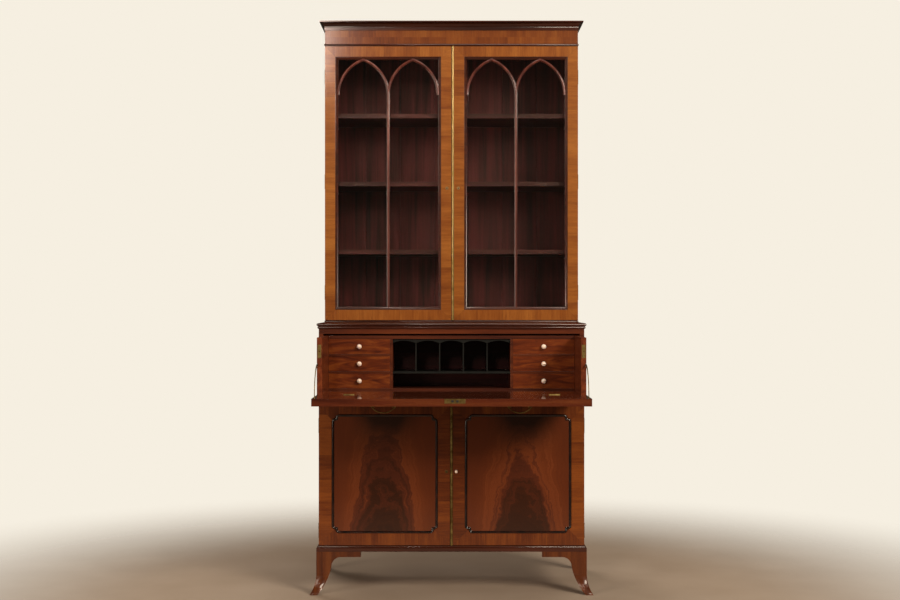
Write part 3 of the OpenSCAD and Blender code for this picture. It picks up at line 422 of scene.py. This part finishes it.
# %% aged brass
def aged_brass():
    m = blank("aged_cast_brass")
    spot = add(m, "TexCoord").outputs["Object"]
    clouds = add(m, "TexNoise", {"Vector": spot, "Scale": 26.0, "Detail": 6.0, "Roughness": 0.65})
    # darker low down on the case and lighter high up, added to the clouds
    height = add(m, "MapRange", {"Value": add(m, "SeparateXYZ", {0: spot}).outputs["Z"], "From Min": 0.7,
                                 "From Max": 1.5, "To Min": -0.16, "To Max": 0.14})
    bright = add(m, "Math", {0: clouds, 1: height}, operation="ADD")
    colour = add(m, "ValToRGB", {0: bright}, [(0.28, "5d4a28"), (0.5, "95804c"), (0.66, "a08a5c")])
    rough = add(m, "MapRange", {"Value": bright, "From Min": 0.3, "From Max": 0.7,
                                "To Min": 0.5, "To Max": 0.3})
    scratches = add(m, "TexNoise", {"Vector": spot, "Scale": 900.0, "Detail": 2.0})
    worn = add(m, "Bump", {"Distance": 0.03 * MM, "Height": scratches})
    metal = add(m, "BsdfPrincipled", {"Base Color": colour, "Metallic": 1.0, "Roughness": rough.outputs[0],
                                      "Normal": worn})
    add(m, "OutputMaterial", {"Surface": metal})
    return m


brass = aged_brass()


# %% turned bone: creamy, with fine streaks along the bone and a little light passing under its skin
def turned_bone():
    m = blank("turned_bone")
    spot = add(m, "TexCoord").outputs["Object"]
    streaks = add(m, "TexNoise", {"Vector": add(m, "Mapping", {"Vector": spot, "Scale": (260, 60, 900)}),
                                  "Scale": 1.0, "Detail": 3.0})
    colour = add(m, "ValToRGB", {0: streaks}, [(0.3, "d9b9a4"), (0.55, "efdccb"), (0.8, "f8ece0")])
    rough = add(m, "MapRange", {"Value": streaks, "To Min": 0.24, "To Max": 0.4})
    skin = add(m, "BsdfPrincipled", {"Base Color": colour, "Roughness": rough.outputs[0], "IOR": 1.54,
                                     "Subsurface Weight": 0.15, "Subsurface Radius": (0.004, 0.002, 0.001),
                                     "Coat Weight": 0.4, "Coat Roughness": 0.1})
    add(m, "OutputMaterial", {"Surface": skin})
    return m


bone = turned_bone()


# %% old crown glass: clear and faintly uneven, and it lets the lamps through to the shelves
def crown_glass():
    m = blank("crown_glass")
    spot = add(m, "TexCoord").outputs["Object"]
    waves = add(m, "TexNoise", {"Vector": spot, "Scale": 5.0, "Detail": 1.0})
    uneven = add(m, "Bump", {"Distance": 0.4 * MM, "Height": waves})
    pane = add(m, "BsdfPrincipled", {"Base Color": linear("e6eee8"), "Roughness": 0.0, "IOR": 1.45,
                                     "Transmission Weight": 1.0, "Normal": uneven})
    lamp = add(m, "LightPath").outputs["Is Shadow Ray"]
    clear = add(m, "BsdfTransparent", {"Color": linear("dfe8e2")})
    add(m, "OutputMaterial", {"Surface": add(m, "MixShader", {0: lamp, 1: pane, 2: clear})})
    return m


glass = crown_glass()


# %% ebonised wood: stained black, with a hint of red where the polish is rubbed thin
def ebonised():
    m = blank("ebonised_moulding_polish")
    spot = add(m, "TexCoord").outputs["Object"]
    rubbed = add(m, "TexNoise", {"Vector": spot, "Scale": 30.0, "Detail": 5.0})
    colour = add(m, "ValToRGB", {0: rubbed}, [(0.4, "130a07"), (0.75, "33170d")])
    fibre = add(m, "TexNoise", {"Vector": spot, "Scale": 400.0, "Detail": 2.0})
    return finish(m, colour, fibre, 0.3, 0.6)


ebony = ebonised()


# %% painted shade for keyholes: a near-black sheet stands in for the hole in shade; the fall's lock links use the same near-black
def keyhole_shade():
    m = blank("keyhole_shade_and_lock_iron")
    spot = add(m, "TexCoord").outputs["Object"]
    grit = add(m, "TexNoise", {"Vector": spot, "Scale": 700.0})
    colour = add(m, "ValToRGB", {0: grit}, [(0.3, "050403"), (0.7, "120e0b")])
    add(m, "OutputMaterial", {"Surface": add(m, "BsdfPrincipled", {"Base Color": colour, "Roughness": 0.7})})
    return m


keyhole_shade_and_iron = keyhole_shade()
print("fittings' materials made")

# %% [markdown]
# ## Give each joinery part its wood
# A part keeps its CAD shape and gets a material by its place in the grain's direction. Hand work leaves no
# knife edges: a weld joins the part's faces and a bevel of half a millimetre softens every arris, which is
# what catches the light on real furniture. Both are modifiers, so the CAD shape underneath is not touched.

# %% which wood goes where
worn = {
    case_upright: ["base_sides", "bookcase_sides"],
    case_level: ["base_top", "front_rails"],
    nest_wood_shaded: ["nest_boards"],
    depth_wood: ["drawer_sides"],
    desk_top: ["fall_board", "drawer_bottom"],
    foot_wood: ["feet_front", "feet_back"],
    moulding: ["top_moulding", "plinth_moulding", "waist_moulding", "cornice"],
    carcase: ["base_bottom", "cupboard_shelf", "dust_board"],
    lining: ["bookcase_bottom", "bookcase_top", "bookcase_shelves", "shelf_ledges", "drawer_back"],
    pigeon: ["nest_partitions"],
    brass: ["case_hinges", "bookcase_brass_left", "bookcase_brass_right", "cupboard_brass_left",
            "cupboard_brass_right", "drawer_brass", "fall_brass", "stays", "bail_left", "bail_right"],
    glass: ["glass_left", "glass_right"],
}
for n, material in {**banded, **flames}.items():
    worn.setdefault(material, []).append(n)
FRONT_BOARD = 10.3 * MM
for k, n in enumerate(f"small_drawer_{s}{row}" for s in "lr" for row in (1, 2, 3)):
    worn[drawer_wood("mahogany_and_oak_" + n[-2:], n, FRONT_BOARD, 3.7 * k)] = [n]


# %% put them on, and soften the arrises of everything made of wood
def dress(node, material, arris=0.5):
    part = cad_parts[node]
    part.data.materials.clear()
    part.data.materials.append(material)
    if arris:
        weld = part.modifiers.new("weld", "WELD")
        weld.merge_threshold = 0.01 * MM
        soften = part.modifiers.new("arris", "BEVEL")
        soften.width, soften.segments = arris * MM, 2
        soften.limit_method, soften.angle_limit = "ANGLE", math.radians(40)
        soften.harden_normals = True


for material, names in worn.items():
    for n in names:
        dress(n, material, 0 if material in (brass, glass) else 0.5)
print(sum(len(v) for v in worn.values()), "parts dressed")

# %% [markdown]
# ## Pieces made one by one
# A shell is a list of points and a list of faces. The next functions make the shells that this furniture is
# built from: a turned one for knobs and screws, a swept one for mouldings and beads, and a planed one for
# boards. Several shells then join into one piece, which rides on a body of the frame.

# %% turned work: a profile of (radius, distance) pairs in mm, spun about a line from a place
def turned(profile, place, toward, steps=48):
    way = Vector(toward).normalized()
    side = way.orthogonal().normalized()
    up = way.cross(side)
    points, faces, rings = [], [], []
    for radius, far in profile:
        centre = Vector(place) + way * far * MM
        count = 1 if radius == 0 else steps
        rings.append((len(points), count))
        points += [centre + (side * math.cos(t) + up * math.sin(t)) * radius * MM
                   for t in (math.tau * k / count for k in range(count))]
    for (a, na), (b, nb) in zip(rings, rings[1:]):
        for k in range(steps):
            j = (k + 1) % steps
            face = [a + k % na, a + j % na, b + j % nb, b + k % nb]
            faces.append([v for i, v in enumerate(face) if v not in face[:i]])
    return points, faces


# %% swept work: a section carried along a line of (x, z) points, mitred at every bend
def swept(line, section, closed):
    """section holds (offset to the left of the line, y) in mm; the line is in metres, in the plane of a door."""
    count, flat = len(line), [Vector(p) for p in line]
    points = []
    for k, p in enumerate(flat):
        before = flat[k - 1] if closed or k else None
        after = flat[(k + 1) % count] if closed or k < count - 1 else None
        runs = [(b - a).normalized() for a, b in ((before, p), (p, after)) if a is not None and b is not None]
        lefts = [Vector((-r.y, r.x)) for r in runs]
        mitre = lefts[0] if len(lefts) == 1 else (lefts[0] + lefts[1]) / (1 + lefts[0].dot(lefts[1]))
        points += [Vector((p.x + mitre.x * off * MM, y * MM, p.y + mitre.y * off * MM)) for off, y in section]
    n = len(section)
    faces = [[k * n + i, k * n + (i + 1) % n, ((k + 1) % count) * n + (i + 1) % n, ((k + 1) % count) * n + i]
             for k in range(count if closed else count - 1) for i in range(n)]
    if not closed:
        faces += [list(range(n)), [(count - 1) * n + i for i in reversed(range(n))]]
    return points, faces


# %% planed work: a board between two corners with its edges rounded
def planed(low, high, arris=0.8):
    work = bmesh.new()
    bmesh.ops.create_cube(work, size=1)
    for v in work.verts:
        v.co = [low[i] + (v.co[i] + 0.5) * (high[i] - low[i]) for i in range(3)]
    bmesh.ops.bevel(work, geom=work.edges, offset=arris * MM, segments=2, affect="EDGES", profile=0.5)
    work.verts.index_update()
    shell = [v.co.copy() for v in work.verts], [[v.index for v in f.verts] for f in work.faces]
    work.free()
    return shell


# %% join shells into a piece, with outward faces and smooth curves, and put it on its body
def piece(name, shells, body, material, sharp=32):
    points, faces = [], []
    for some_points, some_faces in shells:
        start = len(points)
        points += some_points
        faces += [[start + v for v in f] for f in some_faces]
    mesh = bpy.data.meshes.new(name)
    mesh.from_pydata(points, [], faces)
    work = bmesh.new()
    work.from_mesh(mesh)
    bmesh.ops.recalc_face_normals(work, faces=work.faces)
    work.to_mesh(mesh)
    work.free()
    mesh.materials.append(material)
    mesh.shade_smooth()
    mesh.set_sharp_from_angle(angle=math.radians(sharp))
    made = bpy.data.objects.new(name, mesh)
    scene.collection.objects.link(made)
    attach(made, body)
    return made


# %% [markdown]
# ## Bone knobs
# Each knob is turned from one length of bone: a dowel that goes through the drawer front, a collar, a waist
# and a mushroom head that ends in a small pip. Spinning a profile is how the lathe makes it, so it is
# done the same way here.

# %% turn the six knobs
KNOB = [(0, -8.6), (2.3, -8.6), (2.4, 0), (5.7, 0), (6.1, 0.7), (5.7, 1.6), (4.3, 2.3), (3.7, 3.6), (3.9, 5.2),
        (5.2, 6.4), (7.6, 7.4), (9.1, 9.2), (9.5, 11.4), (9.2, 13.6), (8.0, 15.9), (6.0, 17.6), (3.7, 18.5),
        (2.8, 18.6), (2.4, 19.1), (1.5, 19.6), (0, 19.7)]
for tag in (f"{s}{row}" for s in "lr" for row in (1, 2, 3)):
    low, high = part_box("knob_" + tag)
    drawer_low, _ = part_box("small_drawer_" + tag)
    face = ((low.x + high.x) / 2, drawer_low.y, (low.z + high.z) / 2)
    knob = piece("bone_knob_" + tag, [turned(KNOB, face, (0, -1, 0))], "small_drawer_" + tag, bone)
    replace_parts(knob, "knob_" + tag)
print("knobs", 6)

# %% [markdown]
# ## Tracery and its bead
# The glass sits behind a moulded bead. In front of each pane stands an upright bar that parts into two
# pointed arches. The bars are astragals: a round nose on a flat back, 11 mm wide. Each is a section swept
# along its centre line, an arc for an arch, so the nose stays round all the way.

# %% sections of the bead and of the bars, (offset, y) in mm, y measured from the door's face inwards
BEAD = [(0, 9), (0, 1.2), (1.6, 0.9), (3.4, 1.3), (4.6, 2.2), (5.2, 3.6), (7.4, 3.9), (9.6, 4.8), (11.2, 6.2), (12, 8),
        (12, 9)]
BAR = [(-5.5, 9), (-5.5, 6.6), (-4.4, 6.2)] + [
    (-4.0 * math.cos(t), 5.6 - 3.2 * math.sin(t)) for t in (math.pi * k / 10 for k in range(11))] + [
    (4.4, 6.2), (5.5, 6.6), (5.5, 9)]


# %% one arch half, from where it springs to its point
def arch(spring, wide, rise, mirrored):
    radius = (wide * wide / 4 + rise * rise) / wide
    top = math.acos(1 - wide / 2 / radius) * 1.03
    flip = -1 if mirrored else 1
    return [(spring[0] + flip * radius * (1 - math.cos(t)), spring[1] + radius * math.sin(t))
            for t in (top * k / 24 for k in range(25))]


# %% bead and bars of both doors
ARCH_RISE, BEAD_W = 143 * MM, 12 * MM
STILE = 42 * MM
for hand in ("left", "right"):
    low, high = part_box("bookcase_frame_" + hand)
    x0, x1, z0, z1 = low.x + STILE, high.x - STILE, low.z + STILE, high.z - STILE
    door_face = low.y / MM
    bead = [(a, y + door_face) for a, y in BEAD]
    bar = [(a, y + door_face) for a, y in BAR]
    round_the_glass = swept([(x0, z0), (x1, z0), (x1, z1), (x0, z1)], bead, True)
    piece("glazing_bead_" + hand, [round_the_glass], "bookcase_door_" + hand, moulding)
    left, right, middle = x0 + BEAD_W, x1 - BEAD_W, (x0 + x1) / 2
    spring = z1 - BEAD_W - ARCH_RISE
    light = (right - left) / 2
    shells = [swept([(middle, z0 + BEAD_W - 3 * MM), (middle, spring + 6 * MM)], bar, False)]
    for start in (left, middle):
        shells.append(swept(arch((start, spring), light, ARCH_RISE, False), bar, False))
        shells.append(swept(arch((start + light, spring), light, ARCH_RISE, True), bar, False))
    work = piece("tracery_bars_" + hand, shells, "bookcase_door_" + hand, bars)
    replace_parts(work, "tracery_" + hand)
print("arches spring at", round(spring, 3))

# %% [markdown]
# ## Panel moulding
# A black moulding frames each flame panel. Its corners step inwards between two round shoulders. The line is
# traced once, corner by corner, and the section, a cushion with a quirk beside it, is swept round it.

# %% trace the line with its stepped corners, anticlockwise seen from the front
def stepped(low, high, step):
    line = []
    for corner, (sx, sz) in (((low[0], low[1]), (1, 1)), ((high[0], low[1]), (-1, 1)),
                             ((high[0], high[1]), (-1, -1)), ((low[0], high[1]), (1, -1))):
        upright = [(corner[0] + sx * step * (1 - math.cos(t)), corner[1] + sz * step * (2 - math.sin(t)))
                   for t in (math.pi / 2 * k / 8 for k in range(9))]
        level = [(corner[0] + sx * step * (2 - math.sin(t)), corner[1] + sz * step * (1 - math.cos(t)))
                 for t in (math.pi / 2 * k / 8 for k in range(9))]
        turn = upright + level[::-1][1:]
        line += turn if sx * sz > 0 else turn[::-1]
    return line


# %% sweep the moulding
CUSHION = [(0.2, 1.9), (0.2, -0.6), (0.9, -2.2), (2.2, -3.4), (3.8, -3.9), (5.2, -3.5), (6.2, -2.4), (6.5, -1.2),
           (7.2, -1.1), (7.9, -0.2), (8.6, 0.3), (9.4, 0.6), (9.4, 1.9)]
CORNER_STEP = 15 * MM
for hand in ("left", "right"):
    low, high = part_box("panel_moulding_" + hand)
    face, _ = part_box("cupboard_frame_" + hand)
    line = stepped((low.x, low.z), (high.x, high.z), CORNER_STEP)
    section = [(a, y + face.y / MM) for a, y in CUSHION]
    work = piece("panel_bead_" + hand, [swept(line, section, True)], "cupboard_door_" + hand,
                 ebony)
    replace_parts(work, "panel_moulding_" + hand)
print("points round a panel", len(line))

# %% [markdown]
# ## Backboards
# Nobody dresses the back of a case: it is closed with upright boards screwed to the carcase, with a little gap
# between them and a loose tongue across each gap. Seven boards fill the bookcase and six the lower case, each
# planed with rounded edges. The bookcase's boards are stained only on the side that the shelves show.

# %% boards for both backs
def boarded(name, node, count, material):
    low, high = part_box(node)
    pitch = (high.x - low.x) / count
    shells = [planed((low.x + k * pitch + 0.4 * MM, low.y, low.z),
                     (low.x + (k + 1) * pitch - 0.4 * MM, high.y, high.z),
                     1.4) for k in range(count)]
    middle = (low.y + high.y) / 2
    shells += [planed((low.x + k * pitch - 3 * MM, middle - MM, low.z + MM),
                      (low.x + k * pitch + 3 * MM, middle + MM, high.z - MM), 0.2) for k in range(1, count)]
    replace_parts(piece(name, shells, "case", material, sharp=15), node)


boarded("backboards_upper", "bookcase_back", 7, lining_back)
boarded("backboards_lower", "base_back", 6, raw_back)


# %% [markdown]
# ## Screws, locks and brass beads
# Fittings are held by slotted screws, their heads filed nearly flush. A head is turned and its slot is a bar laid
# across it, in the same brass. The strip between two doors is a brass astragal, a half round on a flat strip. Each
# keyhole is a near-black sheet behind its plate: painted shade standing in for the hole.

# %% one screw head and its slot
def screw(place, toward, size=3.0, turn=0.4):
    head = turned([(0, 0.35), (size * 0.7, 0.3), (size, 0.12), (size, -0.3), (0, -0.3)], place, toward, 24)
    way = Vector(toward)
    along = way.orthogonal().normalized()
    along.rotate(Quaternion(way, turn))
    over = way.cross(along)
    spot = Vector(place) + way * 0.38 * MM
    reach, wide = along * size * 0.86 * MM, over * 0.35 * MM
    corners = [spot + reach + wide, spot - reach + wide, spot - reach - wide, spot + reach - wide]
    slot_bar = (corners + [c - way * 0.5 * MM for c in corners],
                [[0, 1, 2, 3], [7, 6, 5, 4], [0, 4, 5, 1], [1, 5, 6, 2], [2, 6, 7, 3], [3, 7, 4, 0]])
    return head, slot_bar


# %% a flat shape in a door's plane, cut from sheet between two depths
def cut_sheet(outline, y0, y1):
    count = len(outline)
    points = [Vector((x, y, z)) for y in (y0, y1) for x, z in outline]
    sides = [[k, (k + 1) % count, count + (k + 1) % count, count + k] for k in range(count)]
    return points, [list(range(count)), list(range(2 * count - 1, count - 1, -1))] + sides


# %% the shape of a keyhole: a round bow over a straight slot
def keyhole(x, z, size=1.0):
    bow, half, drop = 2.1 * size * MM, 1.1 * size * MM, 4.9 * size * MM
    start = math.asin(half / bow)
    round_top = [(x + bow * math.sin(t), z - bow * math.cos(t))
                 for t in (start + (math.tau - 2 * start) * k / 16 for k in range(17))]
    return round_top + [(x - half, z - drop), (x + half, z - drop)]


# %% brass beads on the meeting strips
STRIP_W = 9 * MM
STRIP_PROUD = 2 * MM
for level, slot_body in (("bookcase", "bookcase_door_right"), ("cupboard", "cupboard_door_right")):
    low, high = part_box(level + "_frame_right")
    front = (low.y - STRIP_PROUD) / MM
    nose = [(-3.0 * math.cos(t), front - 2.4 * math.sin(t)) for t in (math.pi * k / 10 for k in range(11))]
    nose = [(-3.0, front + 0.4)] + nose + [(3.0, front + 0.4)]
    middle = low.x - STRIP_W / 2
    line = [(middle, low.z), (middle, high.z)]
    piece("brass_bead_" + level, [swept(line, nose, False)], slot_body, brass)

# %% keyholes behind the plates of the doors, drawn as near-black sheets of painted shade, and a little bone knob on the right cupboard door
SHARE = {"bookcase": (18 * MM, 0.482), "cupboard": (14 * MM, 0.53)}
for level, (inwards, share) in SHARE.items():
    for hand, sign in (("left", -1), ("right", 1)):
        low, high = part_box(f"{level}_frame_{hand}")
        x = low.x + inwards if sign > 0 else high.x - inwards
        z = low.z + (high.z - low.z) * share
        if (level, hand) == ("cupboard", "right"):
            pull = [(0, -0.2), (5.6, -0.2), (5.8, 1.2), (3.0, 2.2), (2.6, 4.0), (4.6, 5.6), (5.6, 7.6), (4.8, 9.8),
                    (2.6, 11.0), (0, 11.3)]
            piece("bone_pull", [turned(pull, (x, low.y - 0.9 * MM, z), (0, -1, 0), 32)], "cupboard_door_right",
                  bone)
        else:
            # painted shade: a thin near-black sheet in the keyhole's shape stands in for the shaded hole
            hole = cut_sheet(keyhole(x, z), low.y - 0.4 * MM, low.y + 0.2 * MM)
            piece(f"keyhole_{level}_{hand}", [hole], f"{level}_door_{hand}", keyhole_shade_and_iron)
print("keyholes at", round(x, 4), round(z, 4))

# %% screws of the drawer's hinges and catch plates, on the drawer, and of the fall's own fittings, on the fall
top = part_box("fall_board")[1].z
hinge_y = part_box("drawer_sides")[0].y - 0.4 * MM
fall_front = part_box("fall_board")[0].y
half_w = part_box("drawer_sides")[1].x
on_drawer, on_fall = [], []
for k, x in enumerate((-0.763 * half_w, 0.763 * half_w)):
    for i, along in enumerate((-14, 0, 14)):
        place = x + along * MM
        on_drawer += screw((place, hinge_y + 9.5 * MM, top), (0, 0, 1), 2.4, 0.5 + i + k)
        on_fall += screw((place, hinge_y - 9.5 * MM, top), (0, 0, 1), 2.4, 1.3 * i + k)
plate_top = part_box("drawer_sides")[1].z - 27 * MM
for sign in (-1, 1):
    for drop in (6, 44):
        spot = (sign * (half_w - 10 * MM), hinge_y + 0.4 * MM, plate_top - drop * MM)
        on_drawer += screw(spot, (0, -1, 0), 2.6, drop)
    for along in (-12, 12):
        on_fall += screw((sign * (half_w - 6.2 * MM), hinge_y + (along - 112) * MM, top), (0, 0, 1), 2.2, along)
LOCK_X = 12 * MM
for along in (-31, 31):
    on_fall += screw((LOCK_X + along * MM, fall_front, top - 8.5 * MM), (0, -1, 0), 2.6, along)
piece("screws_of_the_drawer", on_drawer, "secretaire_drawer", brass)
piece("screws_of_the_fall", on_fall, "fall", brass)
print(len(on_drawer) // 2 + len(on_fall) // 2, "screws")

# %% the lock of the fall: two bolt links in its plate, and a keyhole plate on the face that shows when it is shut
links = []
for along in (-9, 9):
    x = LOCK_X + along * MM
    links.append(planed((x - 4 * MM, fall_front - 0.15 * MM, top - 13 * MM),
                        (x + 4 * MM, fall_front + 0.5 * MM, top - 5 * MM), 0.1))
piece("lock_links", links, "fall", keyhole_shade_and_iron)
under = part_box("fall_board")[0].z
plate = turned([(0, -0.1), (9.0, -0.1), (9.4, 0.5), (8.6, 1.1), (7.6, 0.9), (0, 0.9)],
               (LOCK_X, fall_front + 42 * MM, under), (0, 0, -1), 40)
piece("fall_keyhole_plate", [plate], "fall", brass)
# painted shade: the fall's keyhole is a thin near-black sheet in the hole's shape
hole = [Vector((x, y, under + z)) for z in (-1.25 * MM, -0.8 * MM) for x, y in
        keyhole(LOCK_X, fall_front + 43 * MM, 1.2)]
n = len(hole) // 2
piece("fall_keyhole", [(hole, [list(range(n)), list(range(2 * n - 1, n - 1, -1))] +
                        [[k, (k + 1) % n, n + (k + 1) % n, n + k] for k in range(n)])], "fall", keyhole_shade_and_iron)
